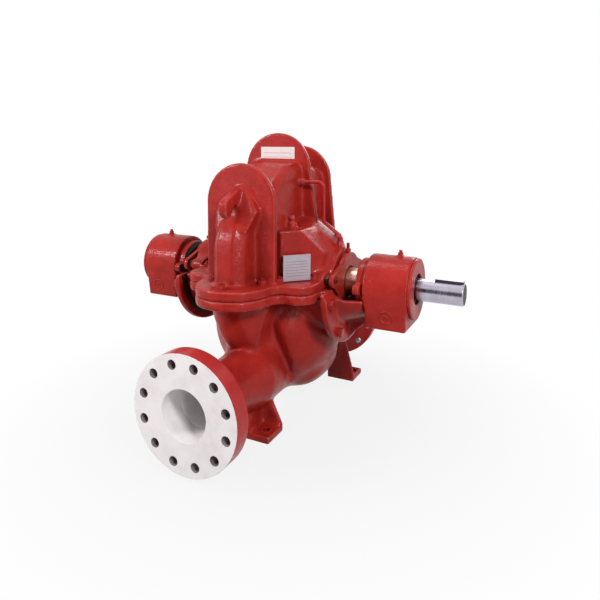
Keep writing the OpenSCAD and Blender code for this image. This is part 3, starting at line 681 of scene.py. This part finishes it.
def bright_metal(name, tone, shade, ring_mm, gloss):
    """Turned metal: fine rings about the shaft, ring_mm apart, vary its gloss, with faint handling marks
    over 30 mm."""
    material, tree = new_material(name)
    place = add_node(tree, "ShaderNodeTexCoord")
    stretch = add_node(tree, "ShaderNodeMapping", {"Scale": (1000 / ring_mm, 6, 6)},
                       {"Vector": place.outputs["Object"]})
    rings = add_node(tree, "ShaderNodeTexNoise", {"Scale": 1.0, "Detail": 3.0, "Roughness": 0.7},
                     {"Vector": stretch.outputs["Vector"]})
    smear = add_node(tree, "ShaderNodeTexNoise", {"Scale": 1 / 0.03, "Detail": 4.0},
                     {"Vector": place.outputs["Object"]})
    tint = add_node(tree, "ShaderNodeMixRGB", {"Color1": linear(tone), "Color2": linear(shade)},
                    {"Fac": smear.outputs["Fac"]})
    dull = add_node(tree, "ShaderNodeMapRange",
                    {"From Min": 0.3, "From Max": 0.7, "To Min": gloss, "To Max": gloss + 0.16},
                    {"Value": rings.outputs["Fac"]})
    bump = add_node(tree, "ShaderNodeBump", {"Strength": 0.12, "Distance": 0.0002},
                    {"Height": rings.outputs["Fac"]})
    shader = add_node(tree, "ShaderNodeBsdfPrincipled", {"Metallic": 1.0},
                      {"Base Color": tint.outputs["Color"], "Roughness": dull.outputs["Result"],
                       "Normal": bump.outputs["Normal"]})
    add_node(tree, "ShaderNodeOutputMaterial", None, {"Surface": shader.outputs["BSDF"]})
    return material


def shaft_finish(centres, normals):
    """Index 1, dark, on the end faces square to the shaft beyond the drive bearing; 0 elsewhere."""
    return (np.abs(normals[:, 0]) > 0.9) & (centres[:, 0] > cad_high[0] - DARK_END_DEPTH)


def key_painted_shade(centres, normals):
    """Index 1, dark as painted shade, on the upright sides of the key; 0 on its bright top."""
    return np.abs(normals[:, 2]) < 0.3


shaft_steel = bright_metal("ground_carbon_steel", "#CBC4D2", "#A29CAB", 0.8, 0.16)
key_steel = bright_metal("cold_drawn_key_steel", "#9A95A2", "#7C7784", 1.5, 0.28)
sleeve_bronze = bright_metal("turned_tin_bronze", "#E0C0AC", "#C39C86", 0.9, 0.24)
# A dark material for the shaft's end face and, as painted shade, for the sides of the key.
dark_end_and_key_shade = dark_skin("dark_shaft_end_and_key_shade", "#14121C", "#2A2733", 0.6, 0.1)
machined_copy("shaft", "_ground", "rotor", (shaft_steel, dark_end_and_key_shade), 0.0010, shaft_finish)
machined_copy("shaft_key", "_fitted", "rotor", (key_steel, dark_end_and_key_shade), 0.0008, key_painted_shade)
for side in ("left", "right"):
    machined_copy("shaft_sleeve_" + side, "_turned", "rotor", (sleeve_bronze,), 0.0010)

# Sleeve set screws: three socket screws in each sleeve that grip the shaft, of black-oxide steel.
# They are screwed in almost flush, so only the chamfered rim and the hexagon socket show.
SLEEVE_R = 0.048
SCREW_SUNK = 0.0008


def hexagon(flats):
    """Radius of a hexagon at evenly spaced angles: half its width over flats divided by the cosine of the
    angle from the middle of the nearest side."""
    turn = np.linspace(0, 2 * np.pi, ROUND_SIDES, endpoint=False)
    return flats / 2 / np.cos(turn % (np.pi / 3) - np.pi / 6)


def set_screw(radius, depth):
    """Socket set screw: a chamfered rim with a hexagon socket, as wide as the radius, sunk into it."""
    socket = hexagon(radius)
    return ring_net([radius, radius, radius * 0.85, socket, socket],
                    [-depth, 0, radius * 0.12, radius * 0.12, -depth * 0.6])


black_steel = dark_skin("black_oxide_steel", "#2B2524", "#4A2E2A", 0.38, 0.85)
screws = []
for x in (0.292, -0.336):
    for angle in (-57, 63, 183):
        out = (0, math.sin(math.radians(angle)), math.cos(math.radians(angle)))
        foot = np.array((CENTRE + x, 0, SHAFT_Z)) + np.array(out) * (SLEEVE_R - SCREW_SUNK)
        screws.append(set_at(set_screw(0.0055, 0.004), foot, out))
hardware("sleeve_set_screws", screws, black_steel, "rotor")

# Gland studs: two studs on each stuffing box with a hexagon nut that draws the gland in.
# They are black-oxide steel with a rolled thread, left unpainted.
GLAND_PITCH = 0.128
GLAND_Z = SHAFT_Z + 0.028
LOBE_BACK = 0.014
NUT_BACK = 0.0122


def hex_nut(flats, height, bore_r):
    """Hexagon ring: both ends are turned off at 30 degrees, so the corners drop away."""
    half = flats / 2
    side = hexagon(flats)
    drop = (side - half) * math.tan(math.radians(30))
    return ring_net([bore_r, half * 0.97, side, side, half * 0.97, bore_r],
                    [0, 0, drop, height - drop, height, height], loop=True)


def threaded_rod(radius, length, pitch):
    """Rod with a single-start thread: the radius dips by a triangle wave of height over pitch less the
    share of a turn, and both ends are chamfered by limiting the radius near them."""
    rows = int(length / pitch * 6) + 1
    level = np.linspace(0, length, rows)[:, None]
    share = np.linspace(0, 1, 24, endpoint=False)[None, :]
    phase = level / pitch - share
    wave = np.abs(2 * (phase - np.floor(phase + 0.5)))
    limit = radius - 0.6 * pitch + np.minimum(level, length - level)
    radii = np.minimum(radius - 0.55 * pitch * wave, limit)
    return ring_net(list(radii), list(np.broadcast_to(level, radii.shape)))


gland_stud = threaded_rod(0.008, 0.038, 0.002)
gland_nut = hex_nut(0.026, 0.012, 0.0076)
for side, hub, way in (("right", 0.252, 1), ("left", -0.296, -1)):
    parts = []
    for y in (-GLAND_PITCH, GLAND_PITCH):
        parts.append(set_at(gland_stud, (CENTRE + hub - way * LOBE_BACK, y, GLAND_Z), (way, 0, 0)))
        parts.append(set_at(gland_nut, (CENTRE + hub - way * NUT_BACK, y, GLAND_Z), (way, 0, 0), 30))
    studs = hardware("gland_studs_" + side + "_threaded", parts, black_steel)
    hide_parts("gland_studs_" + side)

# Parting flange nuts: heavy hexagon nuts with washers on studs around the split of the casing.
# They are steel, drawn down on the upper flange and painted with the pump, each turned as it came.
UP = (0, 0, 1)
FLANGE_TOP = SHAFT_Z + 0.030
WASHER_T = 0.003
NUT_TURN = 17
NUT_PLACES = ((0.008, 0.386), (0.090, 0.276), (-0.090, 0.276), (0.124, 0.233), (-0.124, 0.233),
              (0.206, 0.152), (-0.206, 0.152))
nut_washer = ring_net([0.015, 0.015, 0.0138], [0, 0.002, WASHER_T])
parting_nut = hex_nut(0.024, 0.012, 0.0078)
parting_stud = threaded_rod(0.0081, 0.021, 0.002)
parts = []
for number, (x, y) in enumerate(NUT_PLACES):
    for way in (-1, 1):
        foot = (CENTRE + x, way * y, FLANGE_TOP)
        seat = (foot[0], foot[1], FLANGE_TOP + WASHER_T)
        parts.append(set_at(nut_washer, foot, UP))
        parts.append(set_at(parting_nut, seat, UP, NUT_TURN * number))
        parts.append(set_at(parting_stud, foot, UP))
hardware("parting_flange_nuts", parts, shaded_enamel)

# Bracket bolts: four hexagon bolts with washers hold each bearing bracket to its casing hub.
# They are steel, screwed into the hub along the shaft's direction and painted with the pump.
BRACKET_BOLT_R = 0.178
BOLT_WASHER_T = 0.0026


def hex_head(flats, height):
    """Solid bolt head or plug: a hexagon whose top corners are turned off at 30 degrees."""
    half = flats / 2
    side = hexagon(flats)
    drop = (side - half) * math.tan(math.radians(30))
    return ring_net([side, side, half * 0.96], [0, height - drop, height])


bolt_washer = ring_net([0.017, 0.017, 0.016], [0, 0.002, BOLT_WASHER_T])
bolt_head = hex_head(0.027, 0.012)
parts = []
for face, way in ((0.274, 1), (-0.318, -1)):
    for angle in (-12, -56, -124, -168):
        y = -BRACKET_BOLT_R * math.cos(math.radians(angle))
        z = SHAFT_Z + BRACKET_BOLT_R * math.sin(math.radians(angle))
        foot = (CENTRE + face, y, z)
        parts.append(set_at(bolt_washer, foot, (way, 0, 0)))
        parts.append(set_at(bolt_head, (foot[0] + way * BOLT_WASHER_T, y, z), (way, 0, 0), angle))
hardware("bracket_bolts", parts, shaded_enamel)

# Flush lines: small steel tubes that lead water from the volute to both stuffing boxes.
# Each is bent by hand, held by hexagon compression fittings at its ends, and painted over.
TUBE_R = 0.006
TUBE_SIDES = 20
TUBE_BENDS = (0.022, 0.018)
VOLUTE_SIDE = 0.098
TUBE_TOP = (0.190, -0.042, 0.820)
TUBE_KNEE = (0.190, -0.042, 0.687)
PORT_TOP = 0.6306
PORT_DEPTH = 0.028
ELBOW_DROP = 0.008


def rounded_route(corners, bends, steps):
    """Route through corner points with each inner corner replaced by an arc of the given bend radius."""
    corners = np.array(corners, float)
    route = [corners[0]]
    for before, corner, after, bend in zip(corners, corners[1:], corners[2:], bends):
        back = (before - corner) / np.linalg.norm(before - corner)
        ahead = (after - corner) / np.linalg.norm(after - corner)
        half = math.acos(np.clip(back @ ahead, -1, 1)) / 2
        middle = (back + ahead) / np.linalg.norm(back + ahead)
        hub = corner + middle * bend / math.sin(half)
        spoke = corner + back * bend / math.tan(half) - hub
        normal = np.cross(back, spoke)
        normal /= np.linalg.norm(normal)
        angle = np.linspace(0, np.pi - 2 * half, steps)[:, None]
        route.extend(hub + spoke * np.cos(angle) + np.cross(normal, spoke) * np.sin(angle))
    route.append(corners[-1])
    return np.array(route)


def swept_tube(route, radius, sides):
    """Round tube: at each route point a circle lies across the route's direction, which is the
    difference of the neighbouring points."""
    ahead = np.gradient(route, axis=0)
    ahead /= np.linalg.norm(ahead, axis=1, keepdims=True)
    side = np.cross(ahead, (0.25, 1.0, 0.15))
    side /= np.linalg.norm(side, axis=1, keepdims=True)
    up = np.cross(ahead, side)
    turn = np.linspace(0, 2 * np.pi, sides, endpoint=False)[None, :, None]
    points = route[:, None] + radius * (np.cos(turn) * side[:, None] + np.sin(turn) * up[:, None])
    faces = ring_net([np.ones(sides)] * len(route), list(range(len(route))))[1]
    return points.reshape(-1, 3), faces


volute_stub = ring_net([0.0085, 0.0085, 0.0085, 0.0075, 0.0064], [0, 0.010, 0.020, 0.023, 0.024])
port_stub = ring_net([0.0095, 0.0095, 0.0095, 0.006], [0, 0.016, 0.026, 0.032])
elbow_stub = ring_net([0.0085, 0.0095, 0.0095, 0.0066], [0, 0.004, 0.018, 0.022])
union_nut = hex_nut(0.0185, 0.009, 0.0062)
fittings = []
for side, port, way in (("right", 0.236, 1), ("left", 0.280, -1)):
    corners = [(CENTRE + way * (VOLUTE_SIDE + 0.010), TUBE_TOP[1], TUBE_TOP[2]),
               (CENTRE + way * TUBE_TOP[0], TUBE_TOP[1], TUBE_TOP[2]),
               (CENTRE + way * TUBE_KNEE[0], TUBE_KNEE[1], TUBE_KNEE[2]),
               (CENTRE + way * port, 0.0, PORT_TOP + 0.006)]
    bent_tube = swept_tube(rounded_route(corners, TUBE_BENDS, 10), TUBE_R, TUBE_SIDES)
    tube = hardware("flush_tube_" + side + "_bent", [bent_tube], smooth_enamel)
    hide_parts("flush_tube_" + side)
    start = (CENTRE + way * VOLUTE_SIDE, TUBE_TOP[1], TUBE_TOP[2])
    fittings.append(set_at(hex_head(0.020, 0.010), start, (way, 0, 0)))
    fittings.append(set_at(volute_stub, start, (way, 0, 0)))
    fittings.append(set_at(union_nut, (start[0] + way * 0.012, start[1], start[2]), (way, 0, 0), 30))
    foot = np.array((CENTRE + way * port, 0.0, PORT_TOP - PORT_DEPTH))
    lead = np.array(corners[2]) - np.array(corners[3])
    elbow = np.array(corners[3]) - np.array((0, 0, ELBOW_DROP))
    fittings.append(set_at(hex_head(0.0215, 0.016), foot, UP))
    fittings.append(set_at(port_stub, foot, UP))
    fittings.append(set_at(elbow_stub, elbow, lead))
    fittings.append(set_at(union_nut, elbow + 0.010 * lead / np.linalg.norm(lead), lead))
flush = hardware("flush_line_fittings", fittings, smooth_enamel)
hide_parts("flush_fittings")

# Pipe plugs: steel plugs with a hexagon head, in the bosses on top of the two suction domes.
# Each is turned with a narrow neck, screwed in on a tapered thread and painted with the pump.
PLUG_X = 0.116
PLUG_Y = -0.128
PLUG_Z = SHAFT_Z + 0.208
PLUG_NECK = 0.0145
plug_body = ring_net([0.0105, 0.0105, 0.0092, 0.0078, 0.0078, 0.0090, 0.0090, 0.0080],
                     [-0.001, 0.0040, 0.0050, 0.0060, 0.0120, 0.0130, 0.0150, 0.0155])
plug_head = hex_head(0.0165, 0.0095)
plugs = []
for x in (PLUG_X, -PLUG_X):
    plugs.append(set_at(plug_body, (CENTRE + x, PLUG_Y, PLUG_Z), UP))
    plugs.append(set_at(plug_head, (CENTRE + x, PLUG_Y, PLUG_Z + PLUG_NECK), UP, 22))
plug_piece = hardware("casing_plugs_hexagon", plugs, smooth_enamel)
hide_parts("casing_plugs")

# Grease nipples: a small steel nipple with a hexagon base and a ball end on each bearing housing.
# It is turned, screwed into the top of the housing and painted with the pump.
NIPPLE_Z = SHAFT_Z + 0.107
HOUSING_LENGTH = 0.146
NIPPLE_SHARE = 0.66
nipple_base = hex_head(0.0155, 0.0085)
nipple_ball = ring_net([0.0070, 0.0070, 0.0066, 0.0050, 0.0046, 0.0054, 0.0058, 0.0052, 0.0034],
                       [0, 0.0085, 0.0096, 0.0112, 0.0124, 0.0136, 0.0150, 0.0164, 0.0170])
for side, housing, way in (("right", 0.352, 1), ("left", -0.396, -1)):
    foot = (CENTRE + (housing + way * HOUSING_LENGTH * NIPPLE_SHARE), 0.0, NIPPLE_Z)
    parts = [set_at(nipple_base, foot, UP), set_at(nipple_ball, foot, UP)]
    nipple = hardware("grease_nipple_" + side, parts, shaded_enamel)
    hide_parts("grease_fitting_" + side)

# Drain plugs: a raised ring cast on the front of each bearing housing's oil sump marks the drain,
# and a steel plug with a hexagon socket is screwed into its middle. Both are painted with the pump.
DRAIN_WAY = np.array((0.0, -0.990, -0.139))
DRAIN_Y = -0.0921
DRAIN_Z = 0.402
DRAIN_PROUD = 0.0012
drain_ring = ring_net([0.0235, 0.0228, 0.0212, 0.0192, 0.0178, 0.0170],
                      [-0.004, 0.0010, 0.0024, 0.0024, 0.0010, -0.004], loop=True)
rings = []
plugs = []
for x in (0.430, -0.484):
    foot = np.array((CENTRE + x, DRAIN_Y, DRAIN_Z))
    rings.append(set_at(drain_ring, foot, DRAIN_WAY))
    plugs.append(set_at(set_screw(0.0075, 0.006), foot + DRAIN_PROUD * DRAIN_WAY, DRAIN_WAY))
hardware("housing_drain_rings", rings, shaded_enamel, sharp=60)
hardware("housing_drain_plugs", plugs, shaded_enamel)

# Gland pull studs: a short upright steel stud with a nut on top of each gland, to draw it out by.
# It is screwed into the gland and painted with the pump.
PULL_STUD_Z = SHAFT_Z + 0.098
PULL_NUT_UP = 0.003
pull_stud = threaded_rod(0.006, 0.034, 0.00175)
pull_nut = hex_nut(0.0185, 0.011, 0.0056)
parts = []
for x in (0.265, -0.309):
    parts.append(set_at(pull_stud, (CENTRE + x, 0.0, PULL_STUD_Z), UP))
    parts.append(set_at(pull_nut, (CENTRE + x, 0.0, PULL_STUD_Z + PULL_NUT_UP), UP, 15))
hardware("gland_top_studs", parts, shaded_enamel)

# Nameplate: a bare aluminium plate on four round spacers, in front of the shoulder beside the volute.
# An empty ruled form is stamped in it, and a rivet through each spacer holds it to the casting.
SLANT = np.array((math.sqrt(0.5), math.sqrt(0.5), 0.0))
OUTWARD = np.array((math.sqrt(0.5), -math.sqrt(0.5), 0.0))
PLATE_X = 0.1533
PLATE_Y = -0.1797
PLATE_Z = SHAFT_Z + 0.0745
PLATE_W = 0.092
PLATE_H = 0.084
PLATE_T = 0.0025
PLATE_OFF = 0.0195
RIVET_INSET = 0.006
SUPERELLIPSE_POWER = 40


def plate(width, height, thickness):
    """Rounded plate: its outline is the superellipse of power 40, and its edge is softened by a ring."""
    turn = np.linspace(0, 2 * np.pi, 480, endpoint=False)
    outline = ((np.abs(np.cos(turn)) * 2 / width) ** SUPERELLIPSE_POWER
               + (np.abs(np.sin(turn)) * 2 / height) ** SUPERELLIPSE_POWER) ** (-1 / SUPERELLIPSE_POWER)
    soft = thickness * 0.4
    return ring_net([outline, outline, outline - soft, outline * 0.5],
                    [0, thickness - soft, thickness, thickness])


def plate_metal(name, tone, line, metal, gloss, row_mm, half_width, low, high, slant, middle):
    """Plate finish with an empty ruled form: a line every row_mm between two heights, within a half
    width of the middle, measured along the slant direction in plan."""
    material, tree = new_material(name)
    place = add_node(tree, "ShaderNodeTexCoord")
    parts = add_node(tree, "ShaderNodeSeparateXYZ", None, {"Vector": place.outputs["Object"]})
    row = add_node(tree, "ShaderNodeMath", {"operation": "MULTIPLY", 1: 1000 / row_mm},
                   {0: parts.outputs["Z"]})
    part_row = add_node(tree, "ShaderNodeMath", {"operation": "FRACT"}, {0: row.outputs[0]})
    ruled = add_node(tree, "ShaderNodeMath", {"operation": "LESS_THAN", 1: 0.16}, {0: part_row.outputs[0]})
    above = add_node(tree, "ShaderNodeMath", {"operation": "GREATER_THAN", 1: low}, {0: parts.outputs["Z"]})
    below = add_node(tree, "ShaderNodeMath", {"operation": "LESS_THAN", 1: high}, {0: parts.outputs["Z"]})
    along = add_node(tree, "ShaderNodeVectorMath", {"operation": "DOT_PRODUCT", 1: slant},
                     {0: place.outputs["Object"]})
    offset = add_node(tree, "ShaderNodeMath", {"operation": "SUBTRACT", 1: middle},
                      {0: along.outputs["Value"]})
    away = add_node(tree, "ShaderNodeMath", {"operation": "ABSOLUTE"}, {0: offset.outputs[0]})
    within = add_node(tree, "ShaderNodeMath", {"operation": "LESS_THAN", 1: half_width},
                      {0: away.outputs[0]})
    band = add_node(tree, "ShaderNodeMath", {"operation": "MULTIPLY"},
                    {0: above.outputs[0], 1: below.outputs[0]})
    form = add_node(tree, "ShaderNodeMath", {"operation": "MULTIPLY"},
                    {0: band.outputs[0], 1: within.outputs[0]})
    mark = add_node(tree, "ShaderNodeMath", {"operation": "MULTIPLY"},
                    {0: form.outputs[0], 1: ruled.outputs[0]})
    grime = add_node(tree, "ShaderNodeTexNoise", {"Scale": 1 / 0.02, "Detail": 5.0},
                     {"Vector": place.outputs["Object"]})
    tint = add_node(tree, "ShaderNodeMixRGB", {"Color1": linear(tone), "Color2": linear(line)},
                    {"Fac": mark.outputs[0]})
    marked_colour = add_node(tree, "ShaderNodeMixRGB", {"blend_type": "MULTIPLY", "Color2": (0.80, 0.78, 0.80, 1)},
                    {"Fac": grime.outputs["Fac"], "Color1": tint.outputs["Color"]})
    bump = add_node(tree, "ShaderNodeBump", {"Strength": 0.2, "Distance": 0.0002, "invert": True},
                    {"Height": mark.outputs[0]})
    shader = add_node(tree, "ShaderNodeBsdfPrincipled", {"Metallic": metal, "Roughness": gloss},
                      {"Base Color": marked_colour.outputs["Color"], "Normal": bump.outputs["Normal"]})
    add_node(tree, "ShaderNodeOutputMaterial", None, {"Surface": shader.outputs["BSDF"]})
    return material


plate_middle = np.array((CENTRE + PLATE_X, PLATE_Y, PLATE_Z))
stamped = plate_metal("stamped_aluminium", "#B3AAB1", "#7C757D", metal=0.25, gloss=0.45, row_mm=9.0,
                      half_width=0.038, low=PLATE_Z - 0.033, high=PLATE_Z + 0.024,
                      slant=SLANT.tolist(), middle=float(plate_middle @ SLANT))
rivet_head = ring_net([0.0026, 0.0025, 0.0019, 0.0008], [0, 0.0006, 0.0013, 0.0016])
spacer = ring_net([0.0045, 0.0045], [-0.001, PLATE_OFF + 0.0005])
parts = [set_at(plate(PLATE_W, PLATE_H, PLATE_T), plate_middle + PLATE_OFF * OUTWARD, OUTWARD)]
for across in (-1, 1):
    for up in (-1, 1):
        corner = plate_middle + SLANT * across * (PLATE_W / 2 - RIVET_INSET)
        corner = corner + np.array((0, 0, up * (PLATE_H / 2 - RIVET_INSET)))
        parts.append(set_at(rivet_head, corner + (PLATE_OFF + PLATE_T - 0.0003) * OUTWARD, OUTWARD))
        parts.append(set_at(spacer, corner, OUTWARD))
hardware("nameplate", parts, stamped, sharp=20)

# Rib label: a bare pale label of thin vinyl on the front of the middle rib, with faint empty rules.
# It is stuck on over the paint and has a soft gloss.
LABEL_W = 0.134
LABEL_H = 0.048
LABEL_T = 0.0012
LABEL_Z = SHAFT_Z + 0.431
label_middle = np.array((CENTRE + 0.003, -0.0203, LABEL_Z))
vinyl = plate_metal("pale_vinyl", "#E9DEDC", "#C9B2B0", metal=0.0, gloss=0.5, row_mm=15.0,
                    half_width=0.056, low=LABEL_Z - 0.018, high=LABEL_Z + 0.012,
                    slant=(1.0, 0.0, 0.0), middle=float(label_middle[0]))
parts = [set_at(plate(LABEL_W, LABEL_H, LABEL_T), label_middle, (0, -1, 0))]
hardware("rib_label", parts, vinyl, sharp=20)

# Spot faces: turned rings around the foot holes, where the washers of the holding-down bolts sit.
# They are machined into the cast pads, with the lip of each hole, and painted with the pump.
spot_face = ring_net([0.0126, 0.0126, 0.0136, 0.0185, 0.0200, 0.0200, 0.0180],
                     [0.0004, 0.0228, 0.0236, 0.0236, 0.0228, 0.0060, 0.0004], loop=True)
parts = [set_at(spot_face, (x, y, 0.0), UP) for x, y in FOOT_HOLES]
hardware("foot_spot_faces", parts, smooth_enamel)
